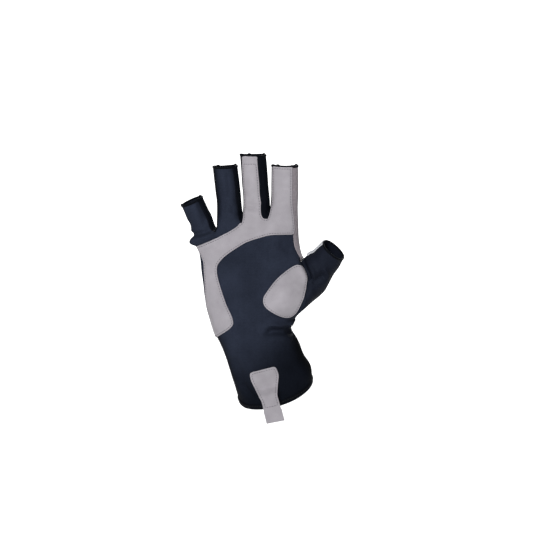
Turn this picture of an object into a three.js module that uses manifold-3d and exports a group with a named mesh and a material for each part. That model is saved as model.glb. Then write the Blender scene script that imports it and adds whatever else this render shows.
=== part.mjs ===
// Fingerless sun glove for fishing: a stretch-knit right-hand glove with synthetic suede on
// the palm, shaped as the hand that wears it holds it. Millimetres. +Z runs up the middle
// finger, -Y out of the palm and +X to the thumb. The origin is the centre of the wrist opening.
import * as THREE from "three";
import { mergeVertices } from "three/addons/utils/BufferGeometryUtils.js";
import Module from "manifold-3d";

const wasm = await Module();
wasm.setup();

// Driving dimensions
const KNIT = 1.0; // thickness of the stretch knit
const SUEDE = 0.9; // thickness of the suede patches
const SEAM = 0.2; // each panel stops this far short of a seam
const GAP = 0.3; // clearance between layers
const HEM_WIDTH = 1.6; // dark edge round each finger opening
const HEM_PROUD = 0.5;
const BINDING_WIDTH = 4.0; // bound edge round the wrist opening
const BINDING_PROUD = 0.9;
const FIT_ROUNDS = 8; // rounds that bring the smooth surface to its points
const COLUMN_SPREAD = 0.9; // seam columns at this share of a section's half width
const ROUNDNESS = 2.4; // exponent of a section's outline: 2 is an ellipse
const FINGER_ROUNDNESS = 2.15;

// Sections across the cuff and the palm, from the rim up. left and right are x and z on the
// outline, y is how deep the middle lies, palm and back how far the walls stand from it, lean
// is how far the section tips towards the palm in degrees, and dip how far its middle droops.
const SECTIONS = [
  { left: [-34.0, -10.5], right: [34.5, 7.5], y: 0.0, palm: 26, back: 25, lean: 20, dip: 4.5 },
  { left: [-36.5, -2.5], right: [33.0, 18.5], y: -3.0, palm: 25.5, back: 24.5, lean: 20, dip: 3 },
  { left: [-40.5, 11.0], right: [27.0, 28.0], y: -7.5, palm: 24, back: 23, lean: 18, dip: 1 },
  { left: [-44.5, 24.5], right: [21.5, 41.5], y: -11.5, palm: 22.5, back: 21, lean: 14, dip: 0 },
  { left: [-49.3, 37.0], right: [15.0, 53.6], y: -14.5, palm: 20.5, back: 19, lean: 9, dip: 0 },
  { left: [-52.5, 43.5], right: [18.6, 60.4], y: -15.5, palm: 20, back: 18, lean: 6, dip: 0 },
  { left: [-55.6, 50.5], right: [21.4, 66.0], y: -16.5, palm: 20, back: 17.5, lean: 4, dip: 0 },
  { left: [-60.0, 64.5], right: [30.0, 76.5], y: -18.0, palm: 19, back: 16.5, lean: 0, dip: 0 },
  { left: [-63.7, 79.0], right: [37.0, 90.0], y: -19.0, palm: 18, back: 16, lean: 0, dip: 0 },
  { left: [-65.7, 93.0], right: [37.0, 104.0], y: -19.5, palm: 17, back: 15.5, lean: 0, dip: 0 },
  { left: [-67.7, 106.5], right: [29.5, 115.0], y: -20.0, palm: 16, back: 15.5, lean: 0, dip: 0 },
  { left: [-69.8, 121.5], right: [22.5, 131.5], y: -20.0, palm: 15.5, back: 15.5, lean: 0, dip: 0 },
];
const THUMB_FROM = 6; // section at the bottom of the thumb's hole
const THUMB_TO = 10; // section at the crotch between thumb and index finger
const COLUMNS = [-1, -0.77, -0.53, -0.28, -0.02, 0.24, 0.46, 0.73, 1]; // of COLUMN_SPREAD

// The seam round the thumb's hole, a row for each section from the bottom up: its place in front
// and its depths in front and behind.
const THUMB_SEAM = [
  { at: [15.5, 64.0], y: -27.0, back_y: -7.5 },
  { at: [25.5, 75.5], y: -32.5, back_y: -5.0 },
  { at: [31.0, 89.5], y: -34.5, back_y: -4.5 },
  { at: [31.0, 103.0], y: -33.5, back_y: -5.5 },
  { at: [24.6, 114.5], y: -28.5, back_y: -10.5 },
];

// The knuckle line, where the palm divides: ridge is the crotch itself, seam the lowest point of
// the seam in front of it, and seam_y and back_y the depths of the front and back seams there.
const WEBS = [
  { ridge: [-53.6, 146.4], seam: [-54.2, 140.5], y: -21.0, seam_y: -32.0, back_y: -11.0 },
  { ridge: [-29.5, 159.5], seam: [-30.6, 149.5], y: -21.0, seam_y: -33.0, back_y: -8.5 },
  { ridge: [-4.3, 162.5], seam: [-7.0, 153.0], y: -21.0, seam_y: -33.0, back_y: -8.5 },
];
const OUTER_EDGE = { side: [-75.2, 133.0], seam: [-73.5, 130.0], y: -20.5, seam_y: -28, back_y: -13 };
const INNER_EDGE = { side: [21.5, 149.0], seam: [17.0, 147.0], y: -20.5, seam_y: -30, back_y: -11 };
const THUMB_CROTCH = { ridge: [26.0, 118.2], y: -20.0 };

// Fingers: base and hem are centres in x and z, wide their half widths there, and turn rolls the
// finger about itself in degrees.
const FINGERS = [
  { name: "little", base: [-64.1, 143.0], hem: [-76.3, 169.6], wide: [10.8, 10.4], turn: -14 },
  { name: "ring", base: [-40.3, 153.0], hem: [-45.4, 199.6], wide: [11.7, 11.2], turn: -12 },
  { name: "middle", base: [-16.0, 157.5], hem: [-20.1, 210.6], wide: [12.2, 11.9], turn: -21 },
  { name: "index", base: [8.8, 158.5], hem: [9.1, 199.4], wide: [12.6, 12.1], turn: -14 },
];
const FRONT_PANEL = [47, 48, 38, 46]; // half the angle that each finger's front panel takes
const REACH = [6, 8, 8, 6]; // how far each finger's hem comes forward of the knuckles
const PAD = [12, 13.5, 14, 14]; // depth at each finger's root
const FINGER_STEPS = [0.28, 0.52, 0.76, 1]; // where each finger's sections lie, base to hem
const FINGER_DEPTH = 0.92; // depth of a finger as a share of its width
const KNUCKLE_Y = -21;
const FINGER_GAP = 0.35; // least distance from a finger to the plane between it and the next
const FINGER_GAP_RISE = 4; // reached this far above the crotch

// The thumb, from its hole to its hem: outline points on its upper and lower edge in x and z,
// y of its middle, its half depth, and how far the section is turned square to the thumb.
const THUMB = [
  { upper: [30.4, 121.6], lower: [40.2, 82.4], y: -22.0, deep: 16.0, square: 0 },
  { upper: [34.9, 124.0], lower: [47.6, 91.0], y: -25.0, deep: 15.2, square: 0.3 },
  { upper: [39.2, 127.7], lower: [53.4, 101.6], y: -28.5, deep: 14, square: 0.7 },
  { upper: [42.1, 130.5], lower: [58.3, 108.8], y: -31.0, deep: 13, square: 1 },
  { upper: [44.4, 133.0], lower: [62.4, 116.6], y: -33.5, deep: 12.4, square: 1 },
];

// Mounds and dents of the worn glove: centre in x and z, along its long direction in degrees
// from +X, half lengths, and how far it stands out of the surface. side is -1 palm, 1 back.
const MOUNDS = [
  { name: "thenar", at: [10, 84], along: 55, size: [30, 19], rise: 10.5, side: -1 },
  { name: "hypothenar", at: [-48, 76], along: 105, size: [32, 15], rise: 4.5, side: -1 },
  { name: "palm_hollow", at: [-20, 104], along: 100, size: [26, 14], rise: -3.0, side: -1 },
  { name: "knuckle_pads", at: [-26, 134], along: 12, size: [46, 9], rise: 2.0, side: -1 },
  { name: "wrist_crease", at: [0, 58], along: 12, size: [22, 8], rise: -3.0, side: -1 },
  { name: "wrist_roll", at: [-10, 44], along: -6, size: [22, 8], rise: 1.5, side: -1 },
  { name: "back_knuckles", at: [-26, 140], along: 12, size: [44, 11], rise: 2.2, side: 1 },
  { name: "back_wrist_fold", at: [-20, 52], along: 10, size: [26, 8], rise: -2.2, side: 1 },
];
const MOUND_FADE = 1.5; // a mound is whole where the surface faces its side by 1 / 1.5

// Outlines of the suede patches, seen from the palm, in x and z. The grip's four corners lie off
// the glove or on its seams, where the outline turns sharply.
const SHARP = true;
const GRIP_OUTLINE = [
  [-30, 222, SHARP], [20, 222, SHARP], [20, 139.5, SHARP], [-3, 138.4], [-21, 134], [-32, 128.8],
  [-48.5, 116.6], [-53, 104.6], [-45.5, 78], [-38.7, 62], [-40.2, 54.2], [-54, 44.6], [-64, 38],
  [-78, 44, SHARP], [-84, 118], [-76, 126.6], [-64.5, 131.5], [-46, 139.5], [-34.6, 146.6],
  [-31.8, 152], [-30, 158],
];
const THENAR_OUTLINE = [
  [19.5, 111], [27.7, 105], [29, 90], [22, 72.5], [17.6, 66.2], [12, 63.4], [4.5, 64.8],
  [-4.5, 69.4], [-9.2, 73.6], [-10.6, 78.5], [-8.5, 84.6], [3.5, 99.8],
];
const OUTLINE_STEP = 4.5; // length of the outlines' pieces where they bend
const THUMB_PATCH = { columns: [10, 11], from: 1 }; // along the thumb's upper edge

// The pull tab, from its sewn top to the folded end: its two edges in x and z, how far it stands
// off the cuff, and how thick it is.
const TAB = [
  { left: [-23.0, 12.2], right: [0.2, 18.4], off: 0.3, thick: 0.9 },
  { left: [-21.8, 5.6], right: [3.0, 10.8], off: 0.3, thick: 0.9 },
  { left: [-18.0, -2.2], right: [2.4, 2.0], off: 0.4, thick: 0.9 },
  { left: [-14.0, -10.0], right: [1.8, -6.4], off: 1.3, thick: 1.0 },
  { left: [-11.4, -16.0], right: [3.2, -12.8], off: 1.8, thick: 1.4 },
];
const TAB_END = { left: [-7.6, -32.8], right: [8.2, -29.8], thick: 1.8 };
const TAB_ACROSS = 6; // pieces across its width
const IN_FRONT = -120; // y of a plane in front of the whole glove
const MID_DEPTH = -8; // y of a plane between the palm and the back

const COLOURS = {
  palm_knit: 0x2e333e,
  back_knit: 0x262a33,
  side_knit: 0x14161c,
  grey_suede: 0xa7a2a9,
  side_suede: 0x8c868c,
  pale_suede: 0xb9b9bc,
  trim: 0x0e1015,
};

const radians = THREE.MathUtils.degToRad;
const mix = THREE.MathUtils.lerp;
const mixPair = (a, b, t) => [mix(a[0], b[0], t), mix(a[1], b[1], t)];
const point = ([x, z], y) => new THREE.Vector3(x, y, z);

// A cage of four-sided faces, whose smooth surface passes through its points.
class Cage {
  constructor() {
    this.points = [];
    this.faces = [];
  }
  add(p) {
    return this.points.push(p) - 1;
  }
  // Faces between two rings of points, where mark(j) says what the face at j belongs to.
  bridge(low, high, mark) {
    low.forEach((_, j) => {
      const k = (j + 1) % low.length;
      const marks = mark(j);
      if (marks.panel) this.faces.push({ v: [low[j], low[k], high[k], high[j]], ...marks });
    });
  }
}

// A point of a palm section: u is -1 at its left edge and 1 at its right, side -1 the palm.
function sectionPoint(s, u, side) {
  const [x, z] = mixPair(s.left, s.right, (u + 1) / 2);
  const depth = (1 - Math.abs(u) ** ROUNDNESS) ** (1 / ROUNDNESS);
  const y = side < 0 ? -s.palm * depth : s.back * depth;
  const droop = y * Math.tan(radians(s.lean)) - s.dip * (1 - u * u);
  return new THREE.Vector3(x, s.y + y, z + droop);
}

// One ring of the palm's cage: nine columns in front, the right edge, nine behind, the left edge.
function palmRing(cage, s, rightEdge, seam) {
  const columns = COLUMNS.map((c) => c * COLUMN_SPREAD);
  const placed = (u, side) => {
    if (!seam || u < COLUMN_SPREAD) return sectionPoint(s, u, side);
    return point(seam.at, side < 0 ? seam.y : seam.back_y);
  };
  const front = columns.map((u) => cage.add(placed(u, -1)));
  const back = columns.map((u) => cage.add(placed(u, 1)));
  const left = cage.add(sectionPoint(s, -1, 1));
  const right = rightEdge ? cage.add(rightEdge) : null;
  return { front, back, left, right };
}

const ringLoop = (r) => [...r.front, r.right, ...[...r.back].reverse(), r.left];

// The knuckle ring, with the crotches between the fingers.
function knuckleRing(cage) {
  const seams = [OUTER_EDGE, ...WEBS, INNER_EDGE];
  const mirrored = ({ ridge, seam }) => (ridge ? [2 * ridge[0] - seam[0], seam[1]] : seam);
  const front = [];
  const back = [];
  seams.forEach((web, i) => {
    front.push(cage.add(point(web.seam, web.seam_y)));
    back.push(cage.add(point(mirrored(web), web.back_y)));
    if (i === FINGERS.length) return;
    const next = seams[i + 1];
    front.push(cage.add(point(mixPair(web.seam, next.seam, 0.5), KNUCKLE_Y - PAD[i])));
    back.push(cage.add(point(mixPair(mirrored(web), mirrored(next), 0.5), KNUCKLE_Y + PAD[i])));
  });
  return {
    front,
    back,
    left: cage.add(point(OUTER_EDGE.side, OUTER_EDGE.y)),
    right: cage.add(point(INNER_EDGE.side, INNER_EDGE.y)),
    webs: WEBS.map((web) => cage.add(point(web.ridge, web.y))),
  };
}

// A point on a round section with the given axes: angle is 0 in front and 90 towards across.
function roundPoint(centre, across, front, half, deep, angle) {
  const c = Math.cos(radians(angle));
  const s = Math.sin(radians(angle));
  const sum = Math.abs(c) ** FINGER_ROUNDNESS + Math.abs(s) ** FINGER_ROUNDNESS;
  const scale = sum ** (-1 / FINGER_ROUNDNESS);
  return centre
    .clone()
    .addScaledVector(across, half * s * scale)
    .addScaledVector(front, deep * c * scale);
}

function fingerRings(cage, f, i) {
  const base = point(f.base, KNUCKLE_Y);
  const hem = point(f.hem, KNUCKLE_Y - REACH[i]);
  const axis = hem.clone().sub(base).normalize();
  const front = new THREE.Vector3(0, -1, 0).addScaledVector(axis, axis.y).normalize();
  const across = axis.clone().cross(front).normalize();
  if (across.x < 0) across.negate();
  const panel = FRONT_PANEL[i];
  const angles = [-panel, 0, panel, 90, 180 - panel, 180, 180 + panel, 270];
  return FINGER_STEPS.map((t) => {
    const centre = base.clone().lerp(hem, t);
    centre.y += REACH[i] * 0.5 * t * (1 - t);
    const half = mix(f.wide[0], f.wide[1], t);
    return angles.map((a) =>
      cage.add(roundPoint(centre, across, front, half, half * FINGER_DEPTH, a + f.turn)),
    );
  });
}

// The thumb's sections have twelve points, in the order of the hole's edge: down the front
// from the crotch, round the lower edge, and up the back.
const THUMB_ANGLES = [60, 30, 0, -30, -60, -90, -120, -150, -180, -210, -240, -270];

function thumbFrame(row, axis) {
  const upper = point(row.upper, row.y);
  const lower = point(row.lower, row.y);
  const across = upper.clone().sub(lower);
  const half = across.length() / 2;
  across.normalize();
  const front = new THREE.Vector3(0, -1, 0).addScaledVector(axis, axis.y * row.square);
  front.addScaledVector(across, -front.dot(across)).normalize();
  return { centre: upper.lerp(lower, 0.5), across, front, half };
}

function thumbAxis() {
  const [a, b] = [THUMB[0], THUMB[THUMB.length - 1]].map((r) =>
    point(mixPair(r.upper, r.lower, 0.5), r.y),
  );
  return b.sub(a).normalize();
}

function thumbRings(cage) {
  const axis = thumbAxis();
  return THUMB.map((row) => {
    const { centre, across, front, half } = thumbFrame(row, axis);
    return THUMB_ANGLES.map((a) => cage.add(roundPoint(centre, across, front, half, row.deep, a)));
  });
}

// Which panel a face of the palm's rings belongs to, by its place round the ring.
function palmPanel(j, section) {
  const inThumb = section >= THUMB_FROM && section < THUMB_TO;
  if (j === 8) return inThumb ? null : section >= THUMB_TO ? "index_side_panel" : "palm_panel";
  if (j === 9) return inThumb ? null : section >= THUMB_TO ? "index_side_panel" : "back_panel";
  return j < 8 || j === 19 ? "palm_panel" : "back_panel";
}

// Which panel a face of a finger belongs to: two in front, two at its right, two behind, two left.
function fingerPanel(i, j) {
  if (j < 2) return "palm_panel";
  if (j === 4 || j === 5) return "back_panel";
  const right = j < 4;
  if (i === 0 && !right) return j === 7 ? "palm_panel" : "back_panel";
  if (i === 3 && right) return "index_side_panel";
  return "fourchette_" + (right ? i : i - 1);
}

function gloveCage() {
  const cage = new Cage();
  const rings = SECTIONS.map((s, i) => {
    const seam = THUMB_SEAM[i - THUMB_FROM];
    if (i > THUMB_FROM && i < THUMB_TO) return palmRing(cage, s, null, seam);
    const edge = i === THUMB_TO ? point(THUMB_CROTCH.ridge, THUMB_CROTCH.y) : sectionPoint(s, 1, 1);
    return palmRing(cage, s, edge, seam);
  });
  const knuckles = knuckleRing(cage);
  rings.push(knuckles);
  for (let i = 0; i + 1 < rings.length; i++) {
    cage.bridge(ringLoop(rings[i]), ringLoop(rings[i + 1]), (j) => ({ panel: palmPanel(j, i) }));
  }

  FINGERS.forEach((f, i) => {
    const c = 2 * i;
    const { front, back, left, right, webs } = knuckles;
    let ring = [
      ...front.slice(c, c + 3),
      webs[i] ?? right,
      ...back.slice(c, c + 3).reverse(),
      webs[i - 1] ?? left,
    ];
    for (const next of fingerRings(cage, f, i)) {
      cage.bridge(ring, next, (j) => ({ panel: fingerPanel(i, j), finger: i }));
      ring = next;
    }
  });

  const span = rings.slice(THUMB_FROM, THUMB_TO + 1);
  const downFront = span.map((r) => r.front[8]).reverse();
  const upBack = span.map((r) => r.back[8]);
  let ring = [...downFront, rings[THUMB_FROM].right, ...upBack, rings[THUMB_TO].right];
  thumbRings(cage).forEach((next, i) => {
    const onPatch = (j) => i >= THUMB_PATCH.from && THUMB_PATCH.columns.includes(j);
    cage.bridge(ring, next, (j) => ({ panel: "thumb_sleeve", patch: onPatch(j) }));
    ring = next;
  });
  return cage;
}

// Neighbours of each point, and the edges with the faces on them.
function topology({ points, faces }) {
  const edges = new Map();
  const around = points.map(() => ({ faces: [], edges: [] }));
  faces.forEach((f, n) => {
    f.v.forEach((a, j) => {
      const b = f.v[(j + 1) % 4];
      const key = a < b ? `${a}_${b}` : `${b}_${a}`;
      if (!edges.has(key)) edges.set(key, { a, b, faces: [] });
      edges.get(key).faces.push(n);
      around[a].faces.push(n);
    });
  });
  for (const e of edges.values()) {
    around[e.a].edges.push(e);
    around[e.b].edges.push(e);
  }
  return { edges, around };
}

const otherEnd = (e, v) => (e.a === v ? e.b : e.a);
const average = (list) =>
  list.reduce((sum, p) => sum.add(p), new THREE.Vector3()).divideScalar(list.length);

// Where each point of a cage comes to rest on the smooth surface.
function limitPoints(cage, { around }) {
  const { points, faces } = cage;
  return points.map((p, v) => {
    const rim = around[v].edges.filter((e) => e.faces.length === 1);
    if (rim.length) {
      const ends = rim.map((e) => points[otherEnd(e, v)]);
      return p.clone().multiplyScalar(4).add(ends[0]).add(ends[1]).divideScalar(6);
    }
    const n = around[v].edges.length;
    const sum = p.clone().multiplyScalar(n * n);
    for (const e of around[v].edges) sum.addScaledVector(points[otherEnd(e, v)], 4);
    for (const f of around[v].faces) {
      const corners = faces[f].v;
      sum.add(points[corners[(corners.indexOf(v) + 2) % 4]]);
    }
    return sum.divideScalar(n * (n + 5));
  });
}

// Moves the cage's points until its smooth surface passes through the places they started from.
function fitCage(cage) {
  const targets = cage.points.map((p) => p.clone());
  const links = topology(cage);
  for (let i = 0; i < FIT_ROUNDS; i++) {
    limitPoints(cage, links).forEach((p, v) => cage.points[v].add(targets[v]).sub(p));
  }
}

// One round of Catmull-Clark subdivision. Each new face keeps its parent's marks.
function subdivide(cage) {
  const { points, faces } = cage;
  const { edges, around } = topology(cage);
  const next = new Cage();
  const centres = faces.map((f) => average(f.v.map((v) => points[v])));
  points.forEach((p, v) => {
    const rim = around[v].edges.filter((e) => e.faces.length === 1);
    if (rim.length) {
      const ends = rim.map((e) => points[otherEnd(e, v)]);
      next.add(p.clone().multiplyScalar(6).add(ends[0]).add(ends[1]).divideScalar(8));
      return;
    }
    const n = around[v].edges.length;
    const faceMean = average(around[v].faces.map((f) => centres[f]));
    const edgeMean = average(around[v].edges.map((e) => points[otherEnd(e, v)].clone().lerp(p, 0.5)));
    next.add(faceMean.addScaledVector(edgeMean, 2).addScaledVector(p, n - 3).divideScalar(n));
  });
  const middles = new Map();
  for (const [key, e] of edges) {
    const ends = [points[e.a], points[e.b]];
    const sides = e.faces.length === 2 ? e.faces.map((f) => centres[f]) : [];
    middles.set(key, next.add(average([...ends, ...sides])));
  }
  faces.forEach((f, n) => {
    const c = next.add(centres[n]);
    const mids = f.v.map((a, j) => {
      const b = f.v[(j + 1) % 4];
      return middles.get(a < b ? `${a}_${b}` : `${b}_${a}`);
    });
    f.v.forEach((v, j) => {
      next.faces.push({ ...f, v: [v, mids[j], c, mids[(j + 3) % 4]] });
    });
  });
  return next;
}

// A face's corners, started so that its shorter diagonal splits it.
function shorterSplit(points, v) {
  const [a, b, c, d] = v.map((i) => points[i]);
  return a.distanceTo(c) <= b.distanceTo(d) ? v : [v[1], v[2], v[3], v[0]];
}

// Outward directions at the points: each face counts by the angle of its corner there.
function pointNormals({ points, faces }) {
  const normals = points.map(() => new THREE.Vector3());
  for (const f of faces) {
    f.v.forEach((v, j) => {
      const ahead = points[f.v[(j + 1) % 4]].clone().sub(points[v]);
      const behind = points[f.v[(j + 3) % 4]].clone().sub(points[v]);
      const angle = ahead.angleTo(behind);
      normals[v].addScaledVector(ahead.cross(behind).normalize(), angle);
    });
  }
  return normals.map((n) => n.normalize());
}

// Raises the mounds and presses in the dents.
function shapeMounds(skin) {
  const normals = pointNormals(skin);
  skin.points.forEach((p, v) => {
    for (const m of MOUNDS) {
      const facing = normals[v].y * m.side;
      if (facing <= 0) continue;
      const dx = p.x - m.at[0];
      const dz = p.z - m.at[1];
      const c = Math.cos(radians(m.along));
      const s = Math.sin(radians(m.along));
      const u = (dx * c + dz * s) / m.size[0];
      const w = (dz * c - dx * s) / m.size[1];
      const rise = m.rise * Math.exp(-(u * u + w * w)) * Math.min(1, facing * MOUND_FADE);
      p.addScaledVector(normals[v], rise);
    }
  });
}

// Above a crotch the two fingers press together: neither passes the plane between them.
function keepFingersApart({ points, faces }) {
  const fingers = points.map(() => new Set());
  for (const f of faces) for (const v of f.v) fingers[v].add(f.finger);
  const heading = ({ base, hem }) => new THREE.Vector2(...hem).sub(new THREE.Vector2(...base));
  WEBS.forEach(({ ridge }, i) => {
    const ways = [i, i + 1].map((k) => heading(FINGERS[k]).normalize());
    const up = ways[0].add(ways[1]).normalize();
    points.forEach((p, v) => {
      const [finger] = fingers[v];
      if (fingers[v].size > 1 || (finger !== i && finger !== i + 1)) return;
      const from = new THREE.Vector2(p.x - ridge[0], p.z - ridge[1]);
      const height = from.dot(up);
      const side = finger === i ? -1 : 1;
      const clear = FINGER_GAP * Math.min(1, height / FINGER_GAP_RISE);
      const short = clear - side * (from.x * up.y - from.y * up.x);
      if (height > 0 && short > 0) p.add(point([side * short * up.y, -side * short * up.x], 0));
    });
  });
}

// The glove's outer skin: four-sided faces with their panels, and a normal at each point.
function makeSkin() {
  const cage = gloveCage();
  fitCage(cage);
  const skin = subdivide(cage);
  skin.points = limitPoints(skin, topology(skin));
  keepFingersApart(skin);
  shapeMounds(skin);
  for (const f of skin.faces) f.v = shorterSplit(skin.points, f.v);
  skin.normals = pointNormals(skin);
  skin.links = topology(skin);
  return skin;
}

function geometryOf(positions, indices) {
  const g = new THREE.BufferGeometry();
  const values = positions.flatMap((p) => [p.x, p.y, p.z]);
  g.setAttribute("position", new THREE.Float32BufferAttribute(values, 3));
  g.setIndex(indices);
  return g;
}

// The faces of some panels as a closed sheet of cloth, from low to high above the skin.
function sheet(skin, belongs, low, high) {
  const faces = skin.faces.filter(belongs);
  const directed = new Set(faces.flatMap((f) => f.v.map((a, j) => `${a}_${f.v[(j + 1) % 4]}`)));
  const used = [...new Set(faces.flatMap((f) => f.v))];
  const index = new Map(used.map((v, i) => [v, i]));
  const inward = used.map(() => new THREE.Vector3());
  const onEdge = new Set();
  const rim = [];
  for (const f of faces) {
    const centre = average(f.v.map((v) => skin.points[v]));
    f.v.forEach((a, j) => {
      const b = f.v[(j + 1) % 4];
      inward[index.get(a)].add(centre.clone().sub(skin.points[a]));
      if (directed.has(`${b}_${a}`)) return;
      rim.push([a, b]);
      onEdge.add(a).add(b);
    });
  }
  const levels = [high, low].map((level) =>
    used.map((v, i) => {
      const n = skin.normals[v];
      const p = skin.points[v].clone().addScaledVector(n, level);
      if (!onEdge.has(v)) return p;
      const pull = inward[i].clone().addScaledVector(n, -inward[i].dot(n));
      return p.addScaledVector(pull.normalize(), SEAM);
    }),
  );
  const count = used.length;
  const indices = [];
  const quad = (a, b, c, d) => indices.push(a, b, c, a, c, d);
  for (const f of faces) {
    const [a, b, c, d] = f.v.map((v) => index.get(v));
    quad(a, b, c, d);
    quad(a + count, d + count, c + count, b + count);
  }
  for (const [a, b] of rim.map((e) => e.map((v) => index.get(v)))) quad(b, a, a + count, b + count);
  return geometryOf(levels.flat(), indices);
}

// The skin's open edges as loops of { p, n, out }: out points away from the cloth.
function openEdges(skin) {
  const after = new Map();
  for (const f of skin.faces) {
    f.v.forEach((a, j) => {
      const b = f.v[(j + 1) % 4];
      const key = a < b ? `${a}_${b}` : `${b}_${a}`;
      if (skin.links.edges.get(key).faces.length === 1) after.set(a, b);
    });
  }
  const loops = [];
  while (after.size) {
    let v = after.keys().next().value;
    const loop = [];
    while (after.has(v)) {
      loop.push(v);
      const next = after.get(v);
      after.delete(v);
      v = next;
    }
    loops.push(
      loop.map((at, i) => {
        const ahead = skin.points[loop[(i + 1) % loop.length]];
        const behind = skin.points[loop[(i + loop.length - 1) % loop.length]];
        const n = skin.normals[at];
        const out = ahead.clone().sub(behind).cross(n).normalize();
        return { p: skin.points[at], n, out };
      }),
    );
  }
  return loops;
}

// A ring of cloth round an open edge. Its section's corners are given as [out, away] from the edge.
function band(loop, corners) {
  const positions = loop.flatMap(({ p, n, out }) =>
    corners.map(([along, away]) => p.clone().addScaledVector(out, along).addScaledVector(n, away)),
  );
  const sides = corners.length;
  const indices = [];
  loop.forEach((_, i) => {
    const k = (i + 1) % loop.length;
    for (let j = 0; j < sides; j++) {
      const m = (j + 1) % sides;
      const [a, b, c, d] = [i * sides + j, i * sides + m, k * sides + m, k * sides + j];
      indices.push(a, b, c, a, c, d);
    }
  });
  return geometryOf(positions, indices);
}

// The section of a bound edge: it starts just past the panels' ends and stands proud of them.
const edgeCorners = (width, proud) => [
  [SEAM + GAP / 2, -KNIT],
  [SEAM + GAP / 2, proud],
  [width, proud],
  [width, -KNIT],
];

// A closed sheet from two grids of points, rows by columns, the outer one first.
function slab(outer, inner) {
  const rows = outer.length;
  const columns = outer[0].length;
  const count = rows * columns;
  const at = (r, c) => r * columns + c;
  const indices = [];
  const quad = (a, b, c, d) => indices.push(a, b, c, a, c, d);
  for (let r = 0; r + 1 < rows; r++) {
    for (let c = 0; c + 1 < columns; c++) {
      const [i, j, k, l] = [at(r, c), at(r + 1, c), at(r + 1, c + 1), at(r, c + 1)];
      quad(i, j, k, l);
      quad(i + count, l + count, k + count, j + count);
    }
  }
  const edge = [];
  for (let c = 0; c + 1 < columns; c++) edge.push([at(0, c + 1), at(0, c)]);
  for (let r = 0; r + 1 < rows; r++) edge.push([at(r, 0), at(r + 1, 0)]);
  for (let c = 0; c + 1 < columns; c++) edge.push([at(rows - 1, c), at(rows - 1, c + 1)]);
  for (let r = rows - 1; r > 0; r--) edge.push([at(r, columns - 1), at(r - 1, columns - 1)]);
  for (const [a, b] of edge) quad(b, a, a + count, b + count);
  return geometryOf([...outer.flat(), ...inner.flat()], indices);
}

// The pull tab: it follows the front of the cuff, then hangs straight down past the rim.
function pullTab(skin) {
  const indices = skin.faces.flatMap(({ v: [a, b, c, d] }) => [a, b, c, a, c, d]);
  const surface = new THREE.Mesh(geometryOf(skin.points, indices));
  const ray = new THREE.Raycaster();
  const frontAt = (x, z) => {
    ray.set(new THREE.Vector3(x, IN_FRONT, z), new THREE.Vector3(0, 1, 0));
    return ray.intersectObject(surface)[0].point.y;
  };
  const acrossRow = (row) =>
    Array.from({ length: TAB_ACROSS + 1 }, (_, c) => mixPair(row.left, row.right, c / TAB_ACROSS));
  const inner = TAB.map((row) => acrossRow(row).map((p) => point(p, frontAt(...p) - row.off)));
  const outer = inner.map((row, r) => row.map((p) => p.clone().setY(p.y - TAB[r].thick)));
  const flat = Math.min(...inner[TAB.length - 1].map((p) => p.y));
  const end = acrossRow(TAB_END);
  inner[TAB.length - 1].forEach((p) => p.setY(flat));
  outer[TAB.length - 1].forEach((p) => p.setY(flat - TAB_END.thick));
  inner.push(end.map((p) => point(p, flat)));
  outer.push(end.map((p) => point(p, flat - TAB_END.thick)));
  return slab(outer, inner);
}

function solid(geometry) {
  const g = geometry.clone();
  g.deleteAttribute("normal");
  g.deleteAttribute("uv");
  const merged = mergeVertices(g, 1e-4);
  return new wasm.Manifold(
    new wasm.Mesh({
      numProp: 3,
      vertProperties: merged.attributes.position.array,
      triVerts: new Uint32Array(merged.index.array),
    }),
  );
}

function geometryFrom(manifold) {
  const m = manifold.getMesh();
  const g = new THREE.BufferGeometry();
  g.setAttribute("position", new THREE.BufferAttribute(m.vertProperties, 3));
  g.setIndex(new THREE.BufferAttribute(m.triVerts, 1));
  return g;
}

// The outline as a smooth closed curve, with straight runs to and from its sharp corners.
function smoothOutline(rows) {
  const at = rows.map(([x, z]) => new THREE.Vector2(x, z));
  const count = at.length;
  const shape = [];
  at.forEach((p, i) => {
    const k = (i + 1) % count;
    const sharp = rows[i][2] === SHARP || rows[k][2] === SHARP;
    const pieces = sharp ? 1 : Math.max(1, Math.round(p.distanceTo(at[k]) / OUTLINE_STEP));
    const curve = new THREE.SplineCurve([at[(i + count - 1) % count], p, at[k], at[(i + 2) % count]]);
    for (let n = 0; n < pieces; n++) shape.push(sharp ? p : curve.getPoint((1 + n / pieces) / 3));
  });
  return shape;
}

// The part of a sheet that lies within an outline drawn on the palm's side.
function cutPatch(cloth, outline) {
  const shape = new THREE.Shape(smoothOutline(outline));
  const depth = MID_DEPTH - IN_FRONT;
  const prism = new THREE.ExtrudeGeometry(shape, { depth, bevelEnabled: false });
  prism.rotateX(Math.PI / 2); // the shape's own y becomes z, and its depth runs to -y
  prism.translate(0, MID_DEPTH, 0);
  const cut = solid(cloth).intersect(solid(prism));
  const pieces = cut.decompose().sort((a, b) => b.volume() - a.volume());
  return geometryFrom(pieces[0]);
}

const skin = makeSkin();
const group = new THREE.Group();

function place(name, geometry, colour, roughness = 0.85) {
  const mesh = new THREE.Mesh(
    geometry,
    new THREE.MeshStandardMaterial({ color: COLOURS[colour], roughness, metalness: 0 }),
  );
  mesh.name = name;
  group.add(mesh);
}

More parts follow.
